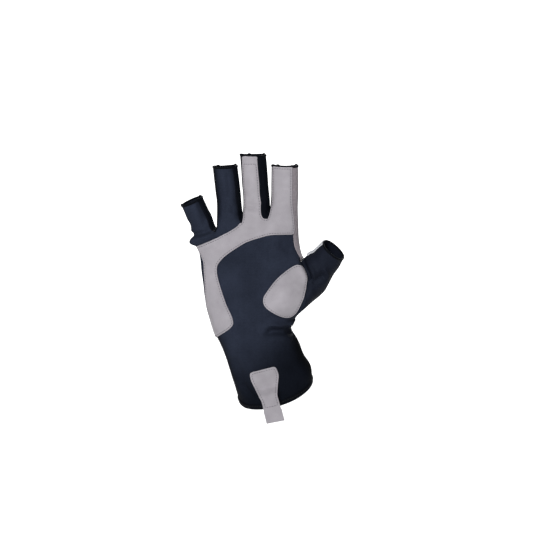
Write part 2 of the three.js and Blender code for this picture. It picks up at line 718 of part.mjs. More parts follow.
const panel = (name) => sheet(skin, (f) => f.panel === name, -KNIT, 0);
place("palm_panel", panel("palm_panel"), "palm_knit", 0.7);
place("back_panel", panel("back_panel"), "back_knit", 0.7);
place("thumb_sleeve", panel("thumb_sleeve"), "back_knit", 0.7);
place("index_side_panel", panel("index_side_panel"), "side_suede");
["little_ring", "ring_middle", "middle_index"].forEach((pair, i) => {
  place("fourchette_" + pair, panel("fourchette_" + i), "side_knit", 0.7);
});

// The suede patches lie over the palm panel.
const overPalm = sheet(skin, (f) => f.panel === "palm_panel", GAP, GAP + SUEDE);
place("grip_patch", cutPatch(overPalm, GRIP_OUTLINE), "grey_suede");
place("thenar_patch", cutPatch(overPalm, THENAR_OUTLINE), "grey_suede");
place("thumb_web_patch", sheet(skin, (f) => f.patch, GAP, GAP + SUEDE), "pale_suede");
place("pull_tab", pullTab(skin), "grey_suede");

// The open edges, each bound by the piece whose end lies nearest.
const thumbEnd = THUMB[THUMB.length - 1];
const ends = [
  { name: "cuff_binding", at: new THREE.Vector3(), width: BINDING_WIDTH, proud: BINDING_PROUD },
  ...FINGERS.map(({ name, hem }, i) => ({ name: name + "_hem", at: point(hem, KNUCKLE_Y - REACH[i]) })),
  { name: "thumb_hem", at: point(mixPair(thumbEnd.upper, thumbEnd.lower, 0.5), thumbEnd.y) },
];
for (const loop of openEdges(skin)) {
  const centre = average(loop.map(({ p }) => p));
  ends.sort((a, b) => a.at.distanceTo(centre) - b.at.distanceTo(centre));
  const { name, width = HEM_WIDTH, proud = HEM_PROUD } = ends[0];
  place(name, band(loop, edgeCorners(width, proud)), "trim");
}

export default group;
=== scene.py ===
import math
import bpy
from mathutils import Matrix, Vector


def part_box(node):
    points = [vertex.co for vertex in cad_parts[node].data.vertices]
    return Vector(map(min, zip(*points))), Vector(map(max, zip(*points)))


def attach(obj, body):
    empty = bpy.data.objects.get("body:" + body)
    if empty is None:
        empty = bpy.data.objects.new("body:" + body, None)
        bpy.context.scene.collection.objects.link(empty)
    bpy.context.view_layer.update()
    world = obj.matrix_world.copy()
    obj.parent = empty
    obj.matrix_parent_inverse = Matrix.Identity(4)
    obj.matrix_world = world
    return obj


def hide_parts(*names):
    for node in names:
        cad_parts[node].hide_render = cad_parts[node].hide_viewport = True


bl_info = {
    "name": "Fingerless fishing glove",
    "version": (1, 0, 0),
    "blender": (4, 5, 0),
    "location": "3D View > Sidebar > Glove",
    "description": "A right-hand stretch-knit sun glove with suede patches, shaped as worn",
    "category": "Object",
}

from collections import namedtuple

import bmesh
import bpy
import numpy as np
from bpy.props import FloatProperty, FloatVectorProperty, PointerProperty
from mathutils import Vector
from mathutils.bvhtree import BVHTree
from mathutils.kdtree import KDTree

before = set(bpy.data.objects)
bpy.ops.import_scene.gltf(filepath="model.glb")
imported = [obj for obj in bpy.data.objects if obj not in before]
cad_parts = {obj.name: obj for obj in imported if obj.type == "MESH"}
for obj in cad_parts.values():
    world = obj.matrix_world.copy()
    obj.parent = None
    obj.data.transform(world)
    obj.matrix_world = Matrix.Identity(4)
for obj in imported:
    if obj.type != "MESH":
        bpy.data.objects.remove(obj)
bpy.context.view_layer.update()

MM = 0.001
TINY = 0.002 * MM  # points closer than this are one point
FRAME_KNIT = 1.0 * MM  # wall of the frame's knit panels, whose rims are found by it
SEAM_REACH = 0.45 * MM  # the frame's panels stop up to this far apart at a seam
OFF_RIMS = 1.5 * MM  # a panel's edge further than this from the glove's openings is a seam
FIT_ROUNDS, SMOOTH_LEVELS = 3, 3
SNAP = 0.2  # share of an edge within which a cut moves the edge's end
WELD = 0.16 * MM  # points along a cut that are closer than this become one

KNIT_NODES = (
    "palm_panel", "back_panel", "thumb_sleeve", "index_side_panel",
    "fourchette_little_ring", "fourchette_ring_middle", "fourchette_middle_index",
)
FOURCHETTES = KNIT_NODES[4:]

# Outlines of the suede patches seen from the palm, in x and z in millimetres. The third value
# marks a sharp corner, which lies off the glove or on a seam.
SHARP = True
GRIP_OUTLINE = (
    (-30, 222, SHARP), (20, 222, SHARP), (20, 139.5, SHARP), (-3, 138.4), (-21, 134), (-32, 128.8),
    (-48.5, 116.6), (-53, 104.6), (-45.5, 78), (-38.7, 62), (-40.2, 54.2), (-54, 44.6), (-64, 38),
    (-78, 44, SHARP), (-84, 118), (-76, 126.6),
    (-64.5, 131.5), (-46, 139.5), (-34.6, 146.6), (-31.8, 152), (-30, 158),
)
THENAR_OUTLINE = (
    (19.5, 111), (27.7, 105), (29, 90), (22, 72.5), (17.6, 66.2), (12, 63.4), (4.5, 64.8),
    (-4.5, 69.4), (-9.2, 73.6), (-10.6, 78.5), (-8.5, 84.6), (3.5, 99.8),
)
OUTLINE_STEPS = 12  # points on each bend between two outline points

# The strip down the middle finger's side, which ends round between the palm's two fingers.
SIDE_STRIP = "fourchette_middle_index"
STRIP_OUTLINE = (
    (-11.5, 177), (-13.1, 168), (-13.2, 161), (-12.6, 156.8), (-11.2, 154.2), (-9.2, 153.3),
    (-7.1, 154.4), (-5.6, 157.6), (-4.8, 163), (-5, 170),
)
STRIP_REACH = 25  # how far from the strip's middle the cloth is looked at

# Folds of the cloth: the path in x and z in millimetres, the width, the depth into the surface
# (negative stands out), how far its two ends fade, and the way that its cloth faces, in x and y.
PALM, BACK, LITTLE_SIDE = (0, -1), (0, 1), (-0.6, -0.8)
Fold = namedtuple("Fold", "path wide deep fade toward", defaults=[PALM])
FOLDS = (
    Fold(((24, 118), (26.7, 110.4), (29.9, 104), (33.9, 94.3)), 2.3, 2.1, (1, 9)),
    Fold(((33, 94), (40, 99), (47, 104.5)), 3.0, 1.3, (3, 5)),
    Fold(((44, 109), (47.5, 103), (49, 97)), 2.2, -0.8, (4, 4)),
    Fold(((25, 77), (31, 82), (37, 88)), 4.0, -0.8, (5, 5)),
    Fold(((21, 50), (14, 53), (7, 57.5)), 2.3, 1.3, (1, 8)),
    Fold(((-9, 58.5), (0, 57), (9, 55)), 3.2, -1.5, (6, 6)),
    Fold(((18, 49), (7, 51), (-4, 50), (-12, 44)), 3.2, 2.6, (2, 10)),
    Fold(((-6, 48), (-4, 30), (0, 2)), 12.0, -3.4, (16, 16)),
    Fold(((-31, 5), (-25, -4), (-17, -12)), 2.5, 1.3, (5, 4)),
    Fold(((-40, 30), (-34, 16), (-30, 4)), 4.0, 1.3, (9, 8)),
    Fold(((2, 133), (9, 127), (16, 124)), 4.0, 0.8, (6, 3)),
    Fold(((-2, 144), (-1, 128), (2, 112)), 9.0, -2.0, (8, 12)),
    Fold(((-36, 60), (-26, 54), (-14, 56)), 4.0, 0.6, (8, 8)),
    Fold(((-82, 131), (-72.7, 133.5), (-62.7, 136.5), (-48, 143)), 3.4, -2.5, (0, 14), LITTLE_SIDE),
    Fold(((-80, 139), (-68, 140), (-57, 143)), 1.8, 0.9, (0, 5), LITTLE_SIDE),
    Fold(((-71, 170), (-67, 158), (-63, 147)), 2.2, 0.6, (5, 5)),
    Fold(((-43, 197), (-42, 184), (-40, 172)), 2.6, 0.8, (5, 6)),
    Fold(((-39.5, 168), (-38, 157)), 2.4, 0.7, (4, 4)),
    Fold(((-29, 164), (-21, 162.5), (-15, 164)), 1.8, 0.8, (4, 3)),
    Fold(((1, 182), (9, 180.5), (16, 181.5)), 2.0, 0.7, (4, 4)),
    Fold(((-44, 52), (-24, 46), (-2, 54)), 4.0, 1.4, (12, 12), BACK),
    Fold(((-40, 64), (-22, 58), (0, 62)), 4.5, 0.9, (12, 12), BACK),
    Fold(((-20, 36), (-14, 20), (-6, 6)), 5.0, 0.9, (10, 10), BACK),
)
FOLD_DEPTH = 1.4  # what the folds' depths are multiplied by
RIPPLE = 0.22  # height in millimetres of the cloth's slow unevenness
CORNER_REACH = 1.5 * MM  # how far along a hem its raised corner goes
SHOULDERS = 0.45  # height of the cloth's rise on both sides of a fold, as a share of its depth

# How much higher the long fingers' openings are on the palm's side than in the frame, at their
# left and right. Base and rim are the middles of the finger's root and opening in x and z.
RIM_LIFTS = (
    dict(base=(-40.3, 153.0), rim=(-45.4, 199.6), wide=11.2, left=2.7, right=1.3),
    dict(base=(-16.0, 157.5), rim=(-20.1, 210.6), wide=11.9, left=2.6, right=0.3),
    dict(base=(8.8, 158.5), rim=(9.1, 199.4), wide=12.1, left=3.1, right=2.9),
)
RIM_REACH = 28  # how far down a finger its lift fades out
RIM_SIDES = 1.12  # how much of a finger is lifted, in half widths, which takes in its round sides

# How the grip patch leaves the side seam, in millimetres: it draws back from the low height to
# the high one, and comes out again from there to its top.
SIDE_SETBACK = dict(low=48, high=90, out=112, top=132, back=8.6, left=4.0)

# Painted shade: the palm's cloth is darker along the cuff's side seams, where it turns away from
# the light: this far in, up to this height in millimetres, and down to this share of its colour.
# The share is kept as an attribute, named stretch though it holds painted shade.
PAINTED_SHADE_ATTRIBUTE = "stretch"
PAINTED_CUFF_SEAM_SHADE = dict(wide=21, height=44, fade=14, share=0.15)
# The same painted shade along the fingers' side seams, where the fingers turn away from the light,
# from this height upwards.
PAINTED_FINGER_SEAM_SHADE = dict(wide=5.0, height=148, fade=10, share=0.55)
# Painted shade on the thumb's side of the cuff, which turns away from the light: it lightens
# from the low height to the high one, and both rise with x by the tilt.
THUMB_SIDE_PAINTED_SHADE = dict(low=2, high=78, tilt=0.9, share=0.25)

# The suede patches, in millimetres: how round the corners are where an outline meets a seam, and
# how much further an edge rolls within reach of an opening.
PATCH_CORNER = 2.5
WEB_REACH = 0.9 * MM  # how far the sleeve's cloth is from the web patch that covers it, at most
RIM_SPREAD = dict(reach=2.2, by=1.5)
# How far from a line of stitches the suede sinks, and how deep.
PATCH_GROOVE, TAB_GROOVE = (1.1 * MM, 0.3 * MM), (1.0 * MM, 0.25 * MM)

# Sections of the binding and of the hems: how far they lap over the cloth's edge, and how far
# their two faces stand under and over the cloth's face.
BAND_LAP = 0.9 * MM
BINDING_UNDER, BINDING_OVER = -1.3 * MM, 0.9 * MM
HEM_UNDER, HEM_OVER = -1.0 * MM, 0.45 * MM

# Rows of stitches across the middle finger and across the pull tab, seen from the palm, in millimetres.
MIDDLE_HEM_ROW = dict(height=203.3, left=-34, right=-12)
TAB_ROW_BOTTOM = ((-9.6, -19.4), (2.6, -16.8))

# The pull tab from its sewn top to its folded end, in millimetres: its edges in x and z, and
# how far its underside stands off the cuff.
TAB_ROWS = (
    dict(left=(-23.0, 12.2), right=(0.2, 18.4), off=0.3),
    dict(left=(-21.8, 5.6), right=(3.0, 10.8), off=0.3),
    dict(left=(-18.0, -2.2), right=(2.4, 2.0), off=0.4),
    dict(left=(-14.0, -10.0), right=(1.8, -6.4), off=1.3),
    dict(left=(-11.4, -16.0), right=(3.2, -12.8), off=1.8),
    dict(left=(-7.6, -32.8), right=(8.2, -29.8), off=1.8),
)
TAB_FRONT, TAB_TURN = 0.78, 0.84  # shares of the tab's length before its fold and before its back
TAB_BACK = 10.0  # millimetres of the tab behind its end
TAB_CORNER = 2.4  # radius of its two sewn corners
TAB_GAP = 0.15 * MM  # half of the gap between the tab's front and its back
TAB_GRID = dict(x_segments=26, y_segments=90)
FROM_PALM = -200  # where the rays start that find the cuff under the tab

# The studio: light of its ceiling and front, of its walls at the height of the glove, and of its
# white back wall. The lamps have a place, a size and a power.
CEILING_GLOW, WALL_GLOW, BACK_GLOW = 0.14, 0.38, 1.7
LAMPS = (
    ("key", (-0.32, -1.5, 0.62), 0.4, 17.5),
    ("top", (-0.2, -0.3, 1.6), 1.0, 2),
    ("back", (0.4, 1.3, 1.5), 0.8, 14),
)
FLOOR_HEIGHT = -0.16
GLOVE_MIDDLE = Vector((-0.01, -0.02, 0.1))
# The photo's side in pixels, one pixel's size at the glove, and the pixel of the frame's origin.
PHOTO_SIDE, PIXEL, ORIGIN_PIXEL = 540, 0.92 * MM, (275, 386)
CAMERA_DISTANCE = 2.6


def linear(code):
    """A colour written as sRGB hex, as the renderer's linear values."""
    parts = [(code >> shift & 255) / 255 for shift in (16, 8, 0)]
    return tuple(c / 12.92 if c <= 0.04045 else ((c + 0.055) / 1.055) ** 2.4 for c in parts)


def length(name, description, default):
    """A size in millimetres, as the sidebar's property."""
    return FloatProperty(name=name, description=description, default=default * MM, unit="LENGTH")


def colour(name, description, code):
    """A colour in sRGB hex, as the sidebar's property."""
    return FloatVectorProperty(
        name=name, description=description, default=linear(code), subtype="COLOR", min=0, max=1
    )


class GloveSizes(bpy.types.PropertyGroup):
    knit: length("Knit", "Thickness of the stretch knit", 1.0)
    suede: length("Suede", "Thickness of the suede patches", 0.9)
    patch_lift: length("Patch lift", "Height of a patch's underside over the knit", 0.25)
    seam_roll: length("Seam roll", "How far a panel's edge rolls in at a seam", 0.55)
    patch_roll: length("Patch roll", "Radius of a patch's cut edge", 0.45)
    hem_width: length("Hem width", "Width of the finger hems", 1.2)
    hem_corner: length("Hem corner", "How far a hem stands up where a seam meets it", 0.9)
    binding_width: length("Binding width", "Width of the cuff's binding", 4.0)
    stitch_pitch: length("Stitch pitch", "Distance from stitch to stitch", 2.4)
    stitch_length: length("Stitch length", "Visible length of one stitch", 1.75)
    thread: length("Thread", "Diameter of the sewing thread", 0.5)
    stitch_inset: length("Stitch inset", "Distance from a patch's edge to its stitches", 1.5)


class GloveColours(bpy.types.PropertyGroup):
    palm: colour("Palm jersey", "Knit on the palm", 0x282D3A)
    back: colour("Back jersey", "Knit on the back and the thumb", 0x161923)
    side: colour("Side jersey", "Knit between the fingers", 0x0A0C12)
    grey: colour("Grey suede", "The patches", 0xA09CA2)
    flecked: colour("Flecked suede", "The index finger's side", 0x928A90)
    pale: colour("Pale suede", "The thumb's web patch", 0xCDCFD4)
    trim: colour("Trim", "Hems and binding", 0x08090D)
    thread: colour("Light thread", "Stitches on the patches", 0x58545B)


def add_node(tree, kind, inputs=None, **settings):
    """Adds a shader node with its own settings. Its inputs are set to values, or linked to a
    socket or to a node's first output in use."""
    made = tree.nodes.new("ShaderNode" + kind)
    for name, value in settings.items():
        setattr(made, name, value)
    for name, value in (inputs or {}).items():
        if isinstance(value, bpy.types.Node):
            value = next(socket for socket in value.outputs if socket.enabled)
        if isinstance(value, bpy.types.NodeSocket):
            tree.links.new(value, made.inputs[name])
        else:
            made.inputs[name].default_value = value
    return made


def maths(tree, operation, *values):
    """A node that works out a number from others."""
    return add_node(tree, "Math", dict(enumerate(values)), operation=operation)


def noise(tree, at, grain, detail=2.0):
    """Noise with a grain of so many millimetres."""
    return add_node(tree, "TexNoise", {"Vector": at, "Scale": 1 / (grain * MM), "Detail": detail})


def new_material(name):
    """A material with an empty tree, and the place on the piece that its patterns follow."""
    material = bpy.data.materials.new(name)
    material.use_nodes = True
    tree = material.node_tree
    tree.nodes.clear()
    return material, tree, add_node(tree, "TexCoord").outputs["Object"]


def clouded_paint(tree, base, patterns, low, high, shades):
    """Paint between a darker and a lighter shade of its base, as shares of it. It follows the sum
    of some patterns, each times its weight, from the low sum to the high one."""
    total = 0.0
    for pattern, weight in patterns:
        total = maths(tree, "MULTIPLY_ADD", pattern, weight, total)
    total = add_node(tree, "MapRange", {"Value": total, "From Min": low, "From Max": high})
    dark, light = ((*[c * shade for c in base], 1) for shade in shades)
    return add_node(tree, "Mix", {"Factor": total, 6: dark, 7: light}, data_type="RGBA")


def add_shader(tree, look):
    """The material's Principled shader, with its settings and links."""
    shader = add_node(tree, "BsdfPrincipled", look)
    add_node(tree, "OutputMaterial", {"Surface": shader})


def stretch_jersey(name, base, sheen=0.0, lustre=0.03, cuff_shade_share=1.0):
    """Polyester and elastane jersey, circular knitted: fine ribs of loops, soft and matt. Its
    loops are 0.7 mm, drawn as 1.1 mm so that they show. A share below 1 paints shade on the
    thumb's side of the cuff, which turns away from the light: it is the share of its lightness
    that the cloth keeps there. The cloth's own attribute paints shade along its seams."""
    material, tree, at = new_material(name)
    x, y, z = add_node(tree, "SeparateXYZ", {0: at}).outputs
    normal = add_node(tree, "NewGeometry").outputs["Normal"]
    facing = add_node(tree, "SeparateXYZ", {0: normal})
    sideways = maths(tree, "ABSOLUTE", facing)
    sideways = maths(tree, "GREATER_THAN", sideways, 0.72)
    across = add_node(tree, "Mix", {"Factor": sideways, 2: x, 3: y})
    waves = []
    for coordinate, loop in ((across, 1.1 * MM), (z, 1.375 * MM)):
        turned = maths(tree, "MULTIPLY", coordinate, math.tau / loop)
        waves.append(maths(tree, "SINE", turned))
    weave = maths(tree, "MULTIPLY_ADD", waves[1], 0.45, waves[0])
    fuzz = noise(tree, at, 0.9, 4.0)
    clouds = noise(tree, at, 26, 3.0)
    paint = clouded_paint(tree, base, ((fuzz, 1), (clouds, 1.5), (weave, 0.16)), 0.8, 1.75, (0.66, 1.32))
    # Painted shade: the colour goes towards black on the thumb's side of the cuff and along the side seams,
    # where the cloth turns away from the light. pull holds this painted shade.
    if cuff_shade_share < 1:
        side = maths(tree, "MULTIPLY_ADD", x, -THUMB_SIDE_PAINTED_SHADE["tilt"], z)
        side = add_node(tree, "MapRange", {
            "Value": side, "From Min": THUMB_SIDE_PAINTED_SHADE["low"] * MM, "From Max": THUMB_SIDE_PAINTED_SHADE["high"] * MM,
            "To Min": cuff_shade_share}, interpolation_type="SMOOTHSTEP")
        pull = add_node(tree, "Attribute", attribute_name=PAINTED_SHADE_ATTRIBUTE).outputs["Fac"]
        pull = maths(tree, "MULTIPLY", side, pull)
        paint = add_node(tree, "Mix", {"Factor": pull, 6: (0, 0, 0, 1), 7: paint}, data_type="RGBA")
    height = maths(tree, "MULTIPLY_ADD", fuzz, 1.6, weave)
    add_shader(tree, {
        "Base Color": paint,
        "Roughness": add_node(tree, "MapRange", {"Value": fuzz, "To Min": 0.56, "To Max": 0.68}),
        "Normal": add_node(tree, "Bump", {"Height": height, "Strength": 0.3, "Distance": 0.08 * MM}),
        "Specular IOR Level": lustre, "Specular Tint": (0.62, 0.74, 1, 1),
        "Sheen Weight": sheen, "Sheen Roughness": 0.45, "Sheen Tint": (0.5, 0.6, 0.8, 1),
    })
    return material


def microfibre_suede(name, base, fleck=0.0):
    """Synthetic suede of split microfibre with a sanded nap: quite matt, soft, clouded where the
    nap lies different ways. Its nap is 0.2 mm, drawn as 0.6 mm so that it shows."""
    material, tree, at = new_material(name)
    nap, lay, clouds, flecks = (
        noise(tree, at, grain, detail)
        for grain, detail in ((0.6, 5.0), (9, 4.0), (38, 2.0), (1.3, 2.0)))
    paint = clouded_paint(tree, base, ((lay, 1), (nap, 0.5), (clouds, 0.8)), 0.75, 1.5, (0.86, 1.12))
    dark = add_node(tree, "MapRange", {
        "Value": flecks, "From Min": 0.5, "From Max": 0.62, "To Max": fleck})
    paint = add_node(tree, "Mix", {
        "Factor": dark, 6: paint, 7: (*[c * 0.45 for c in base], 1)}, data_type="RGBA")
    add_shader(tree, {
        "Base Color": paint,
        "Roughness": add_node(tree, "MapRange", {"Value": lay, "To Min": 0.84, "To Max": 0.98}),
        "Normal": add_node(tree, "Bump", {"Height": nap, "Strength": 0.55, "Distance": 0.12 * MM}),
        "Specular IOR Level": 0.2, "Sheen Weight": 0.18, "Sheen Roughness": 0.6,
    })
    return material


def spun_thread(name, base):
    """Spun polyester sewing thread: two plies twisted together, matt with a slight lustre."""
    material, tree, at = new_material(name)
    plies = noise(tree, at, 0.5)
    add_shader(tree, {
        "Base Color": clouded_paint(tree, base, [(plies, 1)], 0, 1, (0.75, 1.15)),
        "Roughness": 0.6,
        "Normal": add_node(tree, "Bump", {"Height": plies, "Strength": 0.4, "Distance": 0.08 * MM}),
        "Specular IOR Level": 0.35,
    })
    return material


# Each material's maker, its colour in the sidebar, and how it differs from its like.
MATERIALS = {
    "palm_jersey": (stretch_jersey, "palm", dict(cuff_shade_share=THUMB_SIDE_PAINTED_SHADE["share"])),
    "back_jersey": (stretch_jersey, "back", dict(lustre=0.12)),
    "side_jersey": (stretch_jersey, "side", dict(sheen=0.02, lustre=0.08)),
    "folded_binding": (stretch_jersey, "trim", dict(sheen=0.04, lustre=0.08)),
    "grey_microfibre": (microfibre_suede, "grey", {}),
    "flecked_microfibre": (microfibre_suede, "flecked", dict(fleck=0.4)),
    "pale_microfibre": (microfibre_suede, "pale", {}),
    "light_thread": (spun_thread, "thread", {}),
    "dark_thread": (spun_thread, "trim", {}),
}


def bmesh_of(mesh):
    """A mesh as a bmesh."""
    bm = bmesh.new()
    bm.from_mesh(mesh)
    return bm


def surface_of(mesh):
    """A mesh in a form that can be asked for its nearest place, or for where a ray meets it."""
    bm = bmesh_of(mesh)
    tree = BVHTree.FromBMesh(bm)
    bm.free()
    return tree


def object_of(bm, name):
    """A bmesh as an object in the scene."""
    mesh = bpy.data.meshes.new(name)
    bm.to_mesh(mesh)
    bm.free()
    thing = bpy.data.objects.new(name, mesh)
    bpy.context.scene.collection.objects.link(thing)
    return thing


def outer_layer(node):
    """A knit node's outside as four-sided faces: the larger of the two layers of its wall."""
    bm = bmesh_of(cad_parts[node].data)
    bmesh.ops.remove_doubles(bm, verts=bm.verts, dist=TINY)
    rim = {f for e in bm.edges if abs(e.calc_length() - FRAME_KNIT) < 0.02 * MM for f in e.link_faces}
    bmesh.ops.delete(bm, geom=list(rim), context="FACES")
    unseen = set(bm.verts)
    layers = []
    while unseen:
        layer, front = set(), [next(v for v in bm.verts if v in unseen)]
        while front:
            v = front.pop()
            if v in unseen:
                unseen.discard(v)
                layer.add(v)
                front += [e.other_vert(v) for e in v.link_edges]
        area = sum(f.calc_area() for f in {f for v in layer for f in v.link_faces})
        layers.append((area, layer))
    layers.sort(key=lambda pair: -pair[0])
    inner = [v for _, layer in layers[1:] for v in layer]
    bmesh.ops.delete(bm, geom=inner, context="VERTS")
    bmesh.ops.join_triangles(
        bm, faces=bm.faces, angle_face_threshold=math.pi, angle_shape_threshold=math.pi
    )
    return bm


def moved(mesh, points):
    """Puts a mesh's vertices at the points."""
    mesh.vertices.foreach_set("co", np.asarray(points, np.float32).ravel())
    mesh.update()


def points_of(mesh, normals=False):
    """A mesh's vertices, or their normals, as rows of x, y and z."""
    values = np.empty(len(mesh.vertices) * 3, np.float32)
    if normals:
        mesh.vertex_normals.foreach_get("vector", values)
    else:
        mesh.vertices.foreach_get("co", values)
    return values.reshape(-1, 3).astype(float)


def evaluated(thing):
    """An object's mesh with its modifiers applied."""
    graph = bpy.context.evaluated_depsgraph_get()
    return bpy.data.meshes.new_from_object(thing.evaluated_get(graph))


def smooth_skin():
    """The glove's whole outer skin as one fine mesh. A face's material index is its panel's."""
    bm = bmesh.new()
    for i, node in enumerate(KNIT_NODES):
        layer = outer_layer(node)
        for f in layer.faces:
            f.material_index = i
        part = bpy.data.meshes.new(node + "_layer")
        layer.to_mesh(part)
        layer.free()
        bm.from_mesh(part)
        bpy.data.meshes.remove(part)
    edge = [v for v in bm.verts if v.is_boundary]
    bmesh.ops.remove_doubles(bm, verts=edge, dist=SEAM_REACH)
    cage = object_of(bm, "skin")
    mesh = cage.data
    smoothing = cage.modifiers.new("smooth", "SUBSURF")
    smoothing.levels = smoothing.render_levels = 1
    smoothing.use_limit_surface = True
    wanted = points_of(mesh)
    for _ in range(FIT_ROUNDS):
        result = evaluated(cage)
        miss = wanted - points_of(result)[: len(wanted)]
        bpy.data.meshes.remove(result)
        moved(mesh, points_of(mesh) + miss)
    smoothing.levels = smoothing.render_levels = SMOOTH_LEVELS
    skin = evaluated(cage)
    bpy.data.objects.remove(cage)
    return skin


def path_distance(p, path):
    """Distance of points from a polyline, and how far along it each one's nearest point is."""
    best = np.full(len(p), 1e9)
    along = np.zeros(len(p))
    start = 0.0
    for a, b in zip(path, path[1:]):
        a, b = np.array(a, float), np.array(b, float)
        run = np.linalg.norm(b - a)
        t = np.clip((p - a) @ (b - a) / run**2, 0, 1)
        d = np.linalg.norm(p - a - t[:, None] * (b - a), axis=1)
        near = d < best
        best[near] = d[near]
        along[near] = start + t[near] * run
        start += run
    return best, along, start


def rounded_path(path, pieces=6):
    """A smooth curve through the points of an open path."""
    points = [np.array(p, float) for p in path]
    points = [2 * points[0] - points[1], *points, 2 * points[-1] - points[-2]]
    curve = []
    for a, b, c, d in zip(points, points[1:], points[2:], points[3:]):
        for k in range(pieces):
            t = k / pieces
            curve.append(bend(a, b, c, d, t))
    return [*curve, points[-2]]


def bend(a, b, c, d, t):
    """The point at t between b and c on a smooth curve through four points."""
    return 0.5 * (2 * b + (c - a) * t + (2 * a - 5 * b + 4 * c - d) * t**2 + (3 * b - a - 3 * c + d) * t**3)


def closed_outline(rows):
    """A patch's outline as a dense closed curve, straight to and from its sharp corners."""
    points = [np.array(row[:2], float) for row in rows]
    sharp = [len(row) > 2 for row in rows]
    count = len(points)
    curve = []
    for i in range(count):
        a, b, c, d = (points[(i + k) % count] for k in (-1, 0, 1, 2))
        straight = sharp[i] or sharp[(i + 1) % count]
        for k in range(OUTLINE_STEPS):
            t = k / OUTLINE_STEPS
            curve.append(b + (c - b) * t if straight else bend(a, b, c, d, t))
    return np.array(curve)


def inside_distance(p, curve):
    """Distance of points from a closed curve, positive inside it."""
    nearest = np.full(len(p), 1e9)
    inside = np.zeros(len(p), bool)
    for a, b in zip(curve, np.roll(curve, -1, axis=0)):
        t = np.clip((p - a) @ (b - a) / max((b - a) @ (b - a), 1e-12), 0, 1)
        nearest = np.minimum(nearest, np.linalg.norm(p - a - t[:, None] * (b - a), axis=1))
        crosses = (a[1] > p[:, 1]) != (b[1] > p[:, 1])
        with np.errstate(divide="ignore", invalid="ignore"):
            x = a[0] + (p[:, 1] - a[1]) / (b[1] - a[1]) * (b[0] - a[0])
        inside ^= crosses & (p[:, 0] < x)
    return np.where(inside, nearest, -nearest)


def eased(t):
    """Goes from 0 to 1 with no sudden start or stop."""
    t = np.clip(t, 0, 1)
    return t * t * (3 - 2 * t)


def rounded_overlap(a, b, corner):
    """The smaller of two distances, with the corners between their shapes rounded."""
    near = np.maximum(corner - np.abs(a - b), 0) / corner
    return np.minimum(a, b) - near * near * corner / 4


def fold_cloth(skin):
    """Presses the folds in, raises the rolls, and gives the cloth its slow unevenness."""
    p, n = points_of(skin), points_of(skin, normals=True)
    flat = p[:, [0, 2]] / MM
    rise = np.zeros(len(p))
    for fold in FOLDS:
        facing = eased(n[:, :2] @ np.array(fold.toward, float) * 1.6 + 0.15)
        path = rounded_path(fold.path)
        reach = fold.wide * 4
        low, high = np.min(path, axis=0) - reach, np.max(path, axis=0) + reach
        near = (facing > 0) & np.all((flat > low) & (flat < high), axis=1)
        d, along, whole = path_distance(flat[near], path)
        start, end = (max(fade, 0.01) for fade in fold.fade)
        u = d / fold.wide
        shape = SHOULDERS * np.exp(-((u - 1.9) ** 2)) - np.exp(-u * u)
        fade = eased(along / start) * eased((whole - along) / end)
        rise[near] += FOLD_DEPTH * fold.deep * shape * facing[near] * fade
    x, y, z = p.T / MM
    rise += RIPPLE * (
        np.sin(x / 9.3 + np.sin(z / 14.0) * 1.3) * np.sin(z / 11.7 + y / 8.0)
        + 0.5 * np.sin(z / 5.1 + x / 7.7) * np.sin(x / 4.3 - y / 6.1)
    )
    moved(skin, p + n * rise[:, None] * MM)


def lift_rims(skin):
    """Raises the openings of the long fingers on the palm's side, as the photo shows them."""
    p = points_of(skin)
    for row in RIM_LIFTS:
        base, rim = np.array(row["base"]), np.array(row["rim"])
        axis = (rim - base) / np.linalg.norm(rim - base)
        flat = p[:, [0, 2]] / MM - rim
        along = flat @ axis
        across = flat @ np.array((axis[1], -axis[0])) / row["wide"]
        mine = (np.abs(across) < RIM_SIDES) & (along > -RIM_REACH)
        depth = p[mine, 1]
        front = eased(2 * (depth.max() - depth) / (depth.max() - depth.min()))
        share = (np.clip(across[mine], -1, 1) + 1) / 2
        lift = (row["left"] * (1 - share) + row["right"] * share) * front
        lift *= eased(along[mine] / RIM_REACH + 1)
        p[np.ix_(mine, [0, 2])] += lift[:, None] * axis * MM
    moved(skin, p)


def round_off_strip(skin):
    """Gives the strip between the middle and index fingers the round end that the palm leaves it."""
    bm = bmesh_of(skin)
    palm, strip = KNIT_NODES.index("palm_panel"), KNIT_NODES.index(SIDE_STRIP)
    curve = closed_outline(STRIP_OUTLINE)
    flat = np.array([(v.co.x, v.co.z) for v in bm.verts]) / MM
    near = np.all(np.abs(flat - curve.mean(axis=0)) < STRIP_REACH, axis=1)
    near &= np.array([v.normal.y < 0 for v in bm.verts])
    values = np.full(len(flat), -MM)
    values[near] = inside_distance(flat[near], curve) * MM
    level = cut_along(bm, values)
    for f in bm.faces:
        if f.material_index == palm and f.normal.y < 0.2 and sum(level[v] for v in f.verts) > 0:
            f.material_index = strip
    bm.to_mesh(skin)
    bm.free()


def whole_skin():
    """The skin with its folds, made when it is first asked for."""
    if "glove_skin" not in bpy.data.meshes:
        skin = smooth_skin()
        fold_cloth(skin)
        lift_rims(skin)
        round_off_strip(skin)
        skin.name = "glove_skin"
    return bpy.data.meshes["glove_skin"]


def panel_cloth(node):
    """A bmesh of one panel of the skin."""
    bm = bmesh_of(whole_skin())
    mine = KNIT_NODES.index(node)
    bmesh.ops.delete(bm, geom=[f for f in bm.faces if f.material_index != mine], context="FACES")
    for f in bm.faces:
        f.material_index = 0
    return bm


def nearest_of(places):
    """Places in a form that can be asked for the nearest one."""
    tree = KDTree(len(places))
    for i, place in enumerate(places):
        tree.insert(place, i)
    tree.balance()
    return tree


def edge_distance(bm):
    """Each vertex's distance from the open edges of the cloth."""
    edge = [v.co for v in bm.verts if v.is_boundary]
    edge += [(e.verts[0].co + e.verts[1].co) / 2 for e in bm.edges if e.is_boundary]
    near = nearest_of(edge)
    return np.array([near.find(v.co)[2] for v in bm.verts])


